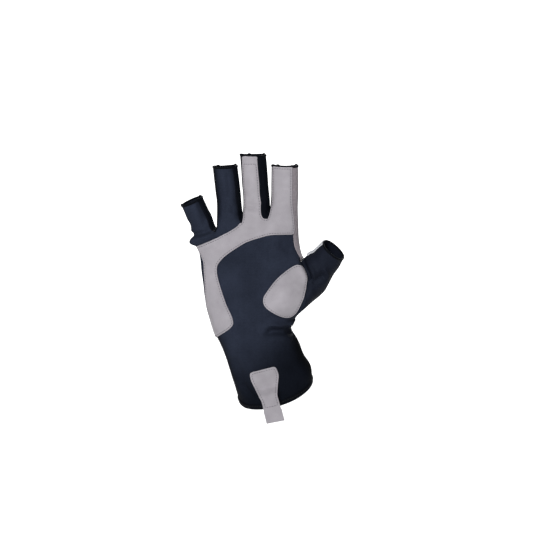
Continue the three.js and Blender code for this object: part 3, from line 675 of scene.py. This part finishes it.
def cut_along(bm, values):
    """Cuts the cloth where the values at its vertices pass zero. Returns the vertices' values,
    which are 0 on the cut."""
    bm.verts.ensure_lookup_table()
    bm.verts.index_update()
    level = {v: float(value) for v, value in zip(bm.verts, values)}
    for e in list(bm.edges):
        a, b = e.verts
        if level[a] * level[b] < 0:
            t = level[a] / (level[a] - level[b])
            if t < SNAP and not a.is_boundary:
                a.co, level[a] = a.co.lerp(b.co, t), 0.0
            elif t > 1 - SNAP and not b.is_boundary:
                b.co, level[b] = b.co.lerp(a.co, 1 - t), 0.0
    for e in list(bm.edges):
        a, b = e.verts
        if level[a] * level[b] < 0:
            t = level[a] / (level[a] - level[b])
            level[bmesh.utils.edge_split(e, a, t)[1]] = 0.0
    on_cut = [v for v in bm.verts if level[v] == 0.0]
    bmesh.ops.connect_verts(bm, verts=on_cut)
    return level


def trim(bm, values):
    """Keeps the cloth where the values are positive."""
    level = cut_along(bm, values)
    outside = [f for f in bm.faces if sum(level[v] for v in f.verts) <= 0]
    bmesh.ops.delete(bm, geom=outside, context="FACES")
    edge = [v for v in bm.verts if v.is_boundary]
    bmesh.ops.remove_doubles(bm, verts=edge, dist=WELD)
    bm.normal_update()


def loops_of(edges):
    """Chains of vertices along edges that meet two by two."""
    links = {}
    for e in edges:
        for v in e.verts:
            links.setdefault(v, []).append(e)
    loops, used = [], set()
    starts = [v for v, es in links.items() if len(es) == 1] + list(links)
    for start in starts:
        if start in used:
            continue
        loop, v = [start], start
        used.add(start)
        while True:
            ahead = [e.other_vert(v) for e in links[v] if e.other_vert(v) not in used]
            if not ahead:
                break
            v = ahead[0]
            used.add(v)
            loop.append(v)
        closed = len(loop) > 2 and any(e.other_vert(v) is start for e in links[v])
        loops.append((loop, closed))
    return loops


def ways_out(bm):
    """For each open edge vertex, the way out of the cloth and the way up from it."""
    out = {}
    for e in bm.edges:
        if e.is_boundary:
            corner = e.link_loops[0]
            a, b = corner.vert, corner.link_loop_next.vert
            away = (b.co - a.co).cross(corner.face.normal)
            for v in (a, b):
                out[v] = out.get(v, Vector()) + away
    edges = [e for e in bm.edges if e.is_boundary]
    for _ in range(3):
        soft = {v: away.copy() for v, away in out.items()}
        for e in edges:
            a, b = e.verts
            soft[a] += out[b] * 0.5
            soft[b] += out[a] * 0.5
        out = soft
    result = {}
    for v, away in out.items():
        up = v.normal.copy()
        away -= up * away.dot(up)
        result[v] = (away.normalized(), up)
    return result


def extruded(bm, edges, roots):
    """Extrudes a line of edges. Returns the new line, and for each of its vertices what the
    vertex that it grew from had."""
    grown = bmesh.ops.extrude_edge_only(bm, edges=edges)["geom"]
    new = [g for g in grown if isinstance(g, bmesh.types.BMVert)]
    known = set(new)
    line = [g for g in grown if isinstance(g, bmesh.types.BMEdge) and known.issuperset(g.verts)]
    ends = {}
    for v in new:
        ends[v] = roots[next(e.other_vert(v) for e in v.link_edges if e.other_vert(v) in roots)]
    return line, ends


def rolled_edge(radius, last):
    """The (out, up) steps of an edge that rolls down, the last one at that angle."""
    turns = [math.radians(turn) for turn in (30, 60, last)]
    return [(radius * math.sin(turn), radius * (math.cos(turn) - 1)) for turn in turns]


def roll_edges(bm, profile, thick, spread=None):
    """Gives the cloth a thickness, with its open edges turned down along a profile of
    (out, up) steps. The last step is the underside's own edge. A spread widens the
    steps out where an edge has to reach further."""
    frames = ways_out(bm)
    place = {v: v.co.copy() for v in frames}
    reach = {v: spread(v.co) if spread else 1.0 for v in frames}
    normals = {v: v.normal.copy() for v in bm.verts}
    edges = [e for e in bm.edges if e.is_boundary]
    under = bmesh.ops.duplicate(bm, geom=list(bm.faces))
    lowered = [(old, new) for old, new in under["vert_map"].items() if old in normals]
    for old, new in lowered:
        new.co = old.co - normals[old] * thick
    bmesh.ops.reverse_faces(bm, faces=[g for g in under["geom"] if isinstance(g, bmesh.types.BMFace)])
    roots = {v: v for v in frames}
    for out, up in [*profile, (0.0, -thick)]:
        edges, roots = extruded(bm, edges, roots)
        for v, root in roots.items():
            away, rise = frames[root]
            v.co = place[root] + away * out * reach[root] + rise * up
    closing = list(roots) + [new for old, new in lowered if old in frames]
    bmesh.ops.remove_doubles(bm, verts=closing, dist=TINY)


def finish_piece(bm, name, material, replaces=()):
    """Turns a bmesh into a piece of a named material that rides on the glove's one body."""
    bm.normal_update()
    for f in bm.faces:
        f.smooth = True
    piece = object_of(bm, name)
    piece.data.materials.append(material_named(material))
    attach(piece, "root")
    if replaces:
        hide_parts(*replaces)


def material_named(name):
    """One of the glove's materials, made when it is first asked for."""
    if name in bpy.data.materials:
        return bpy.data.materials[name]
    make, hue, differences = MATERIALS[name]
    return make(name, getattr(bpy.context.scene.glove_colours, hue), **differences)


def paint_seam_shade(bm):
    """Writes the painted shade of the palm's cloth: how light it is, falling towards the side seams
    of the cuff and of the fingers, where the cloth turns away from the light."""
    rims = finger_rims()
    near = nearest_of([v.co for v in bm.verts if v.is_boundary and rims.find(v.co)[2] > OFF_RIMS])
    layer = bm.verts.layers.float.new(PAINTED_SHADE_ATTRIBUTE)
    for v in bm.verts:
        height, far = v.co.z / MM, near.find(v.co)[2] / MM
        cuff = 1 - eased((height - PAINTED_CUFF_SEAM_SHADE["height"]) / PAINTED_CUFF_SEAM_SHADE["fade"])
        cuff *= 1 - eased(far / PAINTED_CUFF_SEAM_SHADE["wide"])
        finger = eased((height - PAINTED_FINGER_SEAM_SHADE["height"]) / PAINTED_FINGER_SEAM_SHADE["fade"])
        finger *= 1 - eased(far / PAINTED_FINGER_SEAM_SHADE["wide"])
        v[layer] = float(1 - (1 - PAINTED_CUFF_SEAM_SHADE["share"]) * cuff - (1 - PAINTED_FINGER_SEAM_SHADE["share"]) * finger)


def sewn_panel(node, material):
    """A panel of the skin with its edges rolled in at the seams."""
    sizes = bpy.context.scene.glove_sizes
    bm = panel_cloth(node)
    trim(bm, edge_distance(bm) - sizes.seam_roll)
    # The palm's cloth gets painted shade along its side seams.
    if node == "palm_panel":
        paint_seam_shade(bm)
    roll_edges(bm, rolled_edge(sizes.seam_roll, 85), sizes.knit)
    finish_piece(bm, node + "_cloth", material, [node])


class GLOVE_OT_knit_panels(bpy.types.Operator):
    """Makes the palm, the back, the thumb sleeve and the panels between the fingers"""

    bl_idname = "glove.knit_panels"
    bl_label = "Knit panels"

    def execute(self, context):
        sewn_panel("palm_panel", "palm_jersey")
        sewn_panel("back_panel", "back_jersey")
        sewn_panel("thumb_sleeve", "back_jersey")
        for node in FOURCHETTES:
            sewn_panel(node, "side_jersey")
        return {"FINISHED"}


class GLOVE_OT_index_side(bpy.types.Operator):
    """Makes the flecked suede strip down the index finger's side"""

    bl_idname = "glove.index_side"
    bl_label = "Index side panel"

    def execute(self, context):
        sewn_panel("index_side_panel", "flecked_microfibre")
        return {"FINISHED"}


def sink_lines(bm, lines, reach, depth):
    """Presses the cloth down along lines of stitches."""
    near = nearest_of([v.co for loop, _ in lines for v in loop])
    for v in bm.verts:
        far = near.find(v.co)[2]
        if far < reach:
            v.co -= v.normal * depth * float(eased(1 - far / reach))


def routes_of(lines):
    """The lines' places and the ways up from them, with a closed line's first place repeated."""
    routes = []
    for loop, closed in lines:
        round_trip = loop + loop[:1] if closed else loop
        routes.append([(v.co.copy(), v.normal.copy()) for v in round_trip])
    return routes


def finger_rims():
    """The glove's open edges, to ask how near a place is to them."""
    return nearest_of([place for ring in open_ends() for place, *_ in ring])


def patch_piece(bm, inside, node, material):
    """A suede patch laid over the knit where the values are positive, with its stitches."""
    sizes = bpy.context.scene.glove_sizes
    roll = sizes.patch_roll
    trim(bm, inside - roll)
    lift = sizes.patch_lift + sizes.suede
    raised = [(v, v.normal * lift) for v in bm.verts]
    for v, rise in raised:
        v.co += rise
    bm.normal_update()
    from_line = edge_distance(bm) - (sizes.stitch_inset - roll)
    for i, v in enumerate(bm.verts):
        if MIDDLE_HEM_ROW["left"] < v.co.x / MM < MIDDLE_HEM_ROW["right"]:
            from_line[i] = min(from_line[i], MIDDLE_HEM_ROW["height"] * MM - v.co.z)
    lines = stitch_lines(bm, from_line)
    sink_lines(bm, lines, *PATCH_GROOVE)
    routes = routes_of(lines)
    rims = finger_rims()

    def spread(place):
        return RIM_SPREAD["by"] if rims.find(place)[2] < RIM_SPREAD["reach"] * MM else 1.0

    roll_edges(bm, [*rolled_edge(roll, 88), (roll, -sizes.suede)], sizes.suede, spread)
    finish_piece(bm, node + "_suede", material, [node])
    stitch_piece(routes, node + "_stitching", "light_thread")


def stitch_lines(bm, values):
    """Cuts the cloth along its line of stitches and returns the chains of vertices there."""
    level = cut_along(bm, values)
    bm.normal_update()
    edges = [e for e in bm.edges if all(level[v] == 0.0 for v in e.verts)]
    return [pair for pair in loops_of(edges) if len(pair[0]) > 8]


def stitch_piece(routes, name, material):
    """A row of stitches along each route: short rounded lengths of thread, half sunk."""
    sizes = bpy.context.scene.glove_sizes
    bm = bmesh.new()
    for route in routes:
        spots = [p for p, _ in route]
        runs = [0.0]
        for a, b in zip(spots, spots[1:]):
            runs.append(runs[-1] + (b - a).length)
        count = int(runs[-1] / sizes.stitch_pitch)
        if count < 1:
            continue
        pitch = runs[-1] / count
        for k in range(count):
            ends = []
            for half in (-sizes.stitch_length / 2, sizes.stitch_length / 2):
                s = (k + 0.5) * pitch + half
                i = max(j for j, run in enumerate(runs[:-1]) if run <= max(s, 0))
                t = (s - runs[i]) / max(runs[i + 1] - runs[i], 1e-9)
                up = route[i][1].lerp(route[i + 1][1], t).normalized()
                ends.append((spots[i].lerp(spots[i + 1], t), up))
            (a, up_a), (b, up_b) = ends
            add_stitch(bm, a, b, (up_a + up_b).normalized(), sizes.thread)
    finish_piece(bm, name, material)


def add_stitch(bm, a, b, up, thread):
    """One stitch from a to b: an egg-shaped length of thread."""
    along = (b - a).normalized()
    side = up.cross(along).normalized()
    up = along.cross(side)
    made = bmesh.ops.create_uvsphere(bm, u_segments=6, v_segments=5, radius=0.5)["verts"]
    middle, reach = (a + b) / 2 + up * thread * 0.12, (b - a).length
    for v in made:
        x, y, z = v.co
        v.co = middle + along * z * reach + side * x * thread + up * y * thread


def side_setback(flat):
    """How far the grip patch stays off the little finger's side seam, in millimetres."""
    row, height = SIDE_SETBACK, flat[:, 1]
    back = row["back"] * eased((height - row["low"]) / (row["high"] - row["low"]))
    back -= (row["back"] - row["left"]) * eased((height - row["out"]) / (row["top"] - row["out"]))
    return np.where((flat[:, 0] < -40) & (height < 145), back, 0)


class GLOVE_OT_suede_patches(bpy.types.Operator):
    """Makes the grip patch, the thenar patch and the thumb's web patch with their stitches"""

    bl_idname = "glove.suede_patches"
    bl_label = "Suede patches"

    def execute(self, context):
        for node, rows in (("grip_patch", GRIP_OUTLINE), ("thenar_patch", THENAR_OUTLINE)):
            bm = panel_cloth("palm_panel")
            edge = edge_distance(bm)
            flat = np.array([(v.co.x, v.co.z) for v in bm.verts]) / MM
            facing = np.array([v.normal.y < 0.5 for v in bm.verts])
            outline = inside_distance(flat, closed_outline(rows)) * MM
            inside = rounded_overlap(
                np.where(facing, outline, -1.0 * MM), edge - side_setback(flat) * MM, PATCH_CORNER * MM)
            patch_piece(bm, inside, node, "grey_microfibre")
        bm = panel_cloth("thumb_sleeve")
        near = surface_of(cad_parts["thumb_web_patch"].data)
        under = [f for f in bm.faces if near.find_nearest(f.calc_center_median())[3] < WEB_REACH]
        away = [f for f in bm.faces if f not in set(under)]
        bmesh.ops.delete(bm, geom=away, context="FACES")
        patch_piece(bm, edge_distance(bm), "thumb_web_patch", "pale_microfibre")
        return {"FINISHED"}


def open_ends():
    """The skin's open edges as rings of places, each with the way out, the way up, and how near
    it is to a seam. The cuff's ring is the first."""
    bm = bmesh_of(whole_skin())
    bm.normal_update()
    frames = ways_out(bm)
    rings = []
    for loop, _ in loops_of([e for e in bm.edges if e.is_boundary]):
        seams = [v.co.copy() for v in loop if len({f.material_index for f in v.link_faces}) > 1]
        ring = []
        for v in loop:
            far = min(((v.co - seam).length for seam in seams), default=1.0)
            ring.append((v.co.copy(), *frames[v], math.exp(-((far / CORNER_REACH) ** 2))))
        rings.append(ring)
    bm.free()
    rings.sort(key=lambda ring: (sum((place for place, *_ in ring), Vector()) / len(ring)).length)
    return rings


def edge_band(bm, ring, section, corner=0.0):
    """A closed band along a ring of places: its section's points are (out, up) of the edge. Its
    outer side stands up by the corner's height at each seam."""
    start = bmesh.ops.create_circle(bm, segments=len(ring), radius=1)["verts"]
    edges, roots = list(bm.edges), dict(zip(start, ring))
    for i, (out, up) in enumerate([*section, section[0]]):
        if i:
            edges, roots = extruded(bm, edges, roots)
        for v, (place, away, rise, seam) in roots.items():
            v.co = place + away * (out + corner * seam * (out > 0)) + rise * up
    bmesh.ops.remove_doubles(bm, verts=[*start, *roots], dist=TINY)
    bmesh.ops.recalc_face_normals(bm, faces=bm.faces)


def rounded_section(near, far, low, high, corner=0.35):
    """Corners of a band's section, rounded: from near to far out, and from low to high."""
    c = corner * min(far - near, high - low)
    return [
        (near, low + c), (near, high - c), (near + c * 0.4, high - c * 0.4), (near + c, high),
        (far - c, high), (far - c * 0.4, high - c * 0.4), (far, high - c), (far, low + c),
        (far - c * 0.4, low + c * 0.4), (far - c, low), (near + c, low), (near + c * 0.4, low + c * 0.4),
    ]


class GLOVE_OT_bound_edges(bpy.types.Operator):
    """Makes the cuff's binding and the hems of the five finger openings"""

    bl_idname = "glove.bound_edges"
    bl_label = "Bound edges"

    def execute(self, context):
        sizes = context.scene.glove_sizes
        cuff, *fingers = open_ends()
        bm = bmesh.new()
        edge_band(bm, cuff, rounded_section(-BAND_LAP, sizes.binding_width, BINDING_UNDER, BINDING_OVER))
        finish_piece(bm, "cuff_binding_fold", "folded_binding", ["cuff_binding"])
        inset = sizes.stitch_inset - BAND_LAP
        route = [(place + away * inset + rise * BINDING_OVER, rise) for place, away, rise, _ in cuff]
        stitch_piece([route + route[:1]], "cuff_binding_stitching", "dark_thread")
        hems = [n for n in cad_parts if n.endswith("_hem")]
        middles = {n: (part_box(n)[0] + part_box(n)[1]) / 2 for n in hems}
        for ring in fingers:
            centre = sum((place for place, *_ in ring), Vector()) / len(ring)
            node = min(hems, key=lambda n: (middles[n] - centre).length)
            bm = bmesh.new()
            section = rounded_section(-BAND_LAP, sizes.hem_width, HEM_UNDER, HEM_OVER)
            edge_band(bm, ring, section, sizes.hem_corner)
            finish_piece(bm, node + "_fold", "folded_binding", [node])
        return {"FINISHED"}


def tab_point(u, v, corner):
    """The pull tab's place at u across and v rows down, in x and z, and its distance off. The
    sewn end's corners are rounded."""
    rows = TAB_ROWS
    i = min(int(v), len(rows) - 2)
    ends = []
    for side in ("left", "right"):
        a, b, c, d = (np.array(rows[min(max(i + k, 0), len(rows) - 1)][side], float) for k in (-1, 0, 1, 2))
        straight = i == len(rows) - 2
        ends.append(b + (c - b) * (v - i) if straight else bend(a, b, c, d, v - i))
    left, right = ends
    down = v * np.linalg.norm(np.subtract(rows[0]["left"], rows[1]["left"]))
    if down < corner:
        inset = (corner - math.sqrt(corner**2 - (corner - down) ** 2)) / np.linalg.norm(right - left)
        u = inset + (1 - 2 * inset) * u
    off = rows[i]["off"] + (rows[i + 1]["off"] - rows[i]["off"]) * (v - i)
    return left + (right - left) * u, off


class GLOVE_OT_pull_tab(bpy.types.Operator):
    """Makes the suede pull tab that is sewn on the cuff, hangs past its rim and folds back"""

    bl_idname = "glove.pull_tab"
    bl_label = "Pull tab"

    def execute(self, context):
        sizes = context.scene.glove_sizes
        skin = surface_of(whole_skin())
        hang_from = len(TAB_ROWS) - 3
        turn = sizes.suede + TAB_GAP
        last, end = TAB_ROWS[-2:]
        down = sum(np.subtract(end[side], last[side]) for side in ("left", "right"))
        down /= np.linalg.norm(down)
        bm = bmesh.new()
        grid = bmesh.ops.create_grid(bm, **TAB_GRID, size=0.5)["verts"]
        spots = []
        for v in grid:
            s = 0.5 - v.co.y
            t = min(s / TAB_FRONT, 1.0) * (len(TAB_ROWS) - 1)
            (x, z), off = tab_point(v.co.x + 0.5, t, TAB_CORNER)
            start = Vector((x, FROM_PALM, z)) * MM
            hit = skin.ray_cast(start, Vector((0, 1, 0)))[0] if t < hang_from else None
            spots.append((v, s, t, x * MM, z * MM, hit.y - off * MM if hit else None))
        hang = min(depth for *_, depth in spots if depth is not None)
        for v, s, t, x, z, depth in spots:
            free = float(eased(t - hang_from + 1))
            y = hang if depth is None else depth + (hang - depth) * free
            around = min(max((s - TAB_FRONT) / (TAB_TURN - TAB_FRONT), 0), 1) * math.pi
            up = max(s - TAB_TURN, 0) / (1 - TAB_TURN) * TAB_BACK * MM
            along = (turn * math.sin(around) - up) * down
            v.co = (x + along[0], y - sizes.suede + turn * (1 - math.cos(around)), z + along[1])
        bmesh.ops.recalc_face_normals(bm, faces=bm.faces)
        sewn_end = max(bm.faces, key=lambda f: f.calc_center_median().z)
        if sewn_end.normal.y > 0:
            bmesh.ops.reverse_faces(bm, faces=bm.faces)
        bm.normal_update()
        (x0, z0), (x1, z1) = TAB_ROW_BOTTOM
        across = Vector((x1 - x0, z1 - z0)).normalized()
        above = np.array([
            (v.co.z - z0 * MM) * across.x - (v.co.x - x0 * MM) * across.y for v in bm.verts])
        lines = stitch_lines(bm, np.minimum(edge_distance(bm) - sizes.stitch_inset, above))
        sink_lines(bm, lines, *TAB_GROOVE)
        routes = routes_of(lines)
        roll = sizes.patch_roll * 0.6
        profile = [(roll, -roll * 0.6), (roll, -sizes.suede + roll * 0.4)]
        roll_edges(bm, profile, sizes.suede)
        finish_piece(bm, "pull_tab_suede", "grey_microfibre", ["pull_tab"])
        stitch_piece(routes, "pull_tab_stitching", "light_thread")
        return {"FINISHED"}


class GLOVE_OT_stage(bpy.types.Operator):
    """Makes the pale floor, the soft studio light and the camera"""

    bl_idname = "glove.stage"
    bl_label = "Stage"

    def execute(self, context):
        scene = context.scene
        bm = bmesh.new()
        bmesh.ops.create_grid(bm, x_segments=1, y_segments=1, size=12)
        bmesh.ops.translate(bm, verts=bm.verts, vec=(0, 0, FLOOR_HEIGHT))
        floor = object_of(bm, "floor")
        # White acrylic sheet, polished: it mirrors the bright back wall, and so looks as pale.
        material, tree, at = new_material("pale_floor")
        haze = add_node(tree, "TexNoise", {"Vector": at, "Scale": 1.5})
        add_shader(tree, {
            "Base Color": clouded_paint(tree, (1, 1, 1), [(haze, 1)], 0, 1, (0.93, 0.95)),
            "Roughness": 0.12, "Specular IOR Level": 0.8,
            "Emission Color": (1, 1, 1, 1), "Emission Strength": 0.14,
        })
        floor.data.materials.append(material)

        scene.world = bpy.data.worlds.new("studio")
        scene.world.use_nodes = True
        tree = scene.world.node_tree
        tree.nodes.clear()
        way = add_node(tree, "TexCoord").outputs["Generated"]
        _, inwards, upwards = add_node(tree, "SeparateXYZ", {0: way}).outputs
        steep = maths(tree, "ABSOLUTE", upwards)
        glows = []
        for value, low, high, near, far in (
                (steep, 0.1, 0.25, WALL_GLOW, CEILING_GLOW), (inwards, 0.96, 0.99, CEILING_GLOW, BACK_GLOW)):
            glows.append(add_node(tree, "MapRange", {
                "Value": value, "From Min": low, "From Max": high, "To Min": near, "To Max": far},
                interpolation_type="SMOOTHSTEP"))
        both = maths(tree, "MAXIMUM", *glows)
        glow = add_node(tree, "Background", {"Color": (1, 1, 1, 1), "Strength": both})
        add_node(tree, "OutputWorld", {"Surface": glow})

        for name, place, size, power in LAMPS:
            lamp = bpy.data.lights.new(name, "AREA")
            lamp.size, lamp.energy = size, power
            holder = bpy.data.objects.new(name, lamp)
            holder.location = place
            aim = GLOVE_MIDDLE - Vector(place)
            holder.rotation_euler = aim.to_track_quat("-Z", "Y").to_euler()
            scene.collection.objects.link(holder)

        view = bpy.data.cameras.new("camera")
        camera = bpy.data.objects.new("camera", view)
        view.lens = view.sensor_width * CAMERA_DISTANCE / (PHOTO_SIDE * PIXEL)
        x, z = ((PHOTO_SIDE / 2 - pixel) * PIXEL for pixel in ORIGIN_PIXEL)
        camera.location = (x, GLOVE_MIDDLE.y - CAMERA_DISTANCE, -z)
        camera.rotation_euler = (math.radians(90), 0, 0)
        view.clip_end = 50
        scene.collection.objects.link(camera)
        scene.camera = camera
        scene.view_settings.view_transform = "Standard"
        return {"FINISHED"}


STEPS = (
    GLOVE_OT_stage,
    GLOVE_OT_knit_panels,
    GLOVE_OT_index_side,
    GLOVE_OT_suede_patches,
    GLOVE_OT_bound_edges,
    GLOVE_OT_pull_tab,
)


class GLOVE_PT_panel(bpy.types.Panel):
    """Lists the glove's pieces"""

    bl_idname = "GLOVE_PT_panel"
    bl_label = "Fishing glove"
    bl_space_type = "VIEW_3D"
    bl_region_type = "UI"
    bl_category = "Glove"

    def draw(self, context):
        for group in (context.scene.glove_sizes, context.scene.glove_colours):
            for name in group.__annotations__:
                self.layout.prop(group, name)
        for step in STEPS:
            self.layout.operator(step.bl_idname)


CLASSES = (GloveSizes, GloveColours, *STEPS, GLOVE_PT_panel)


def register():
    for kind in CLASSES:
        bpy.utils.register_class(kind)
    bpy.types.Scene.glove_sizes = PointerProperty(type=GloveSizes)
    bpy.types.Scene.glove_colours = PointerProperty(type=GloveColours)


def unregister():
    del bpy.types.Scene.glove_sizes
    del bpy.types.Scene.glove_colours
    for kind in reversed(CLASSES):
        bpy.utils.unregister_class(kind)


def main():
    register()
    bpy.ops.glove.stage()
    bpy.ops.glove.knit_panels()
    bpy.ops.glove.index_side()
    bpy.ops.glove.suede_patches()
    bpy.ops.glove.bound_edges()
    bpy.ops.glove.pull_tab()


if __name__ == "__main__":
    main()
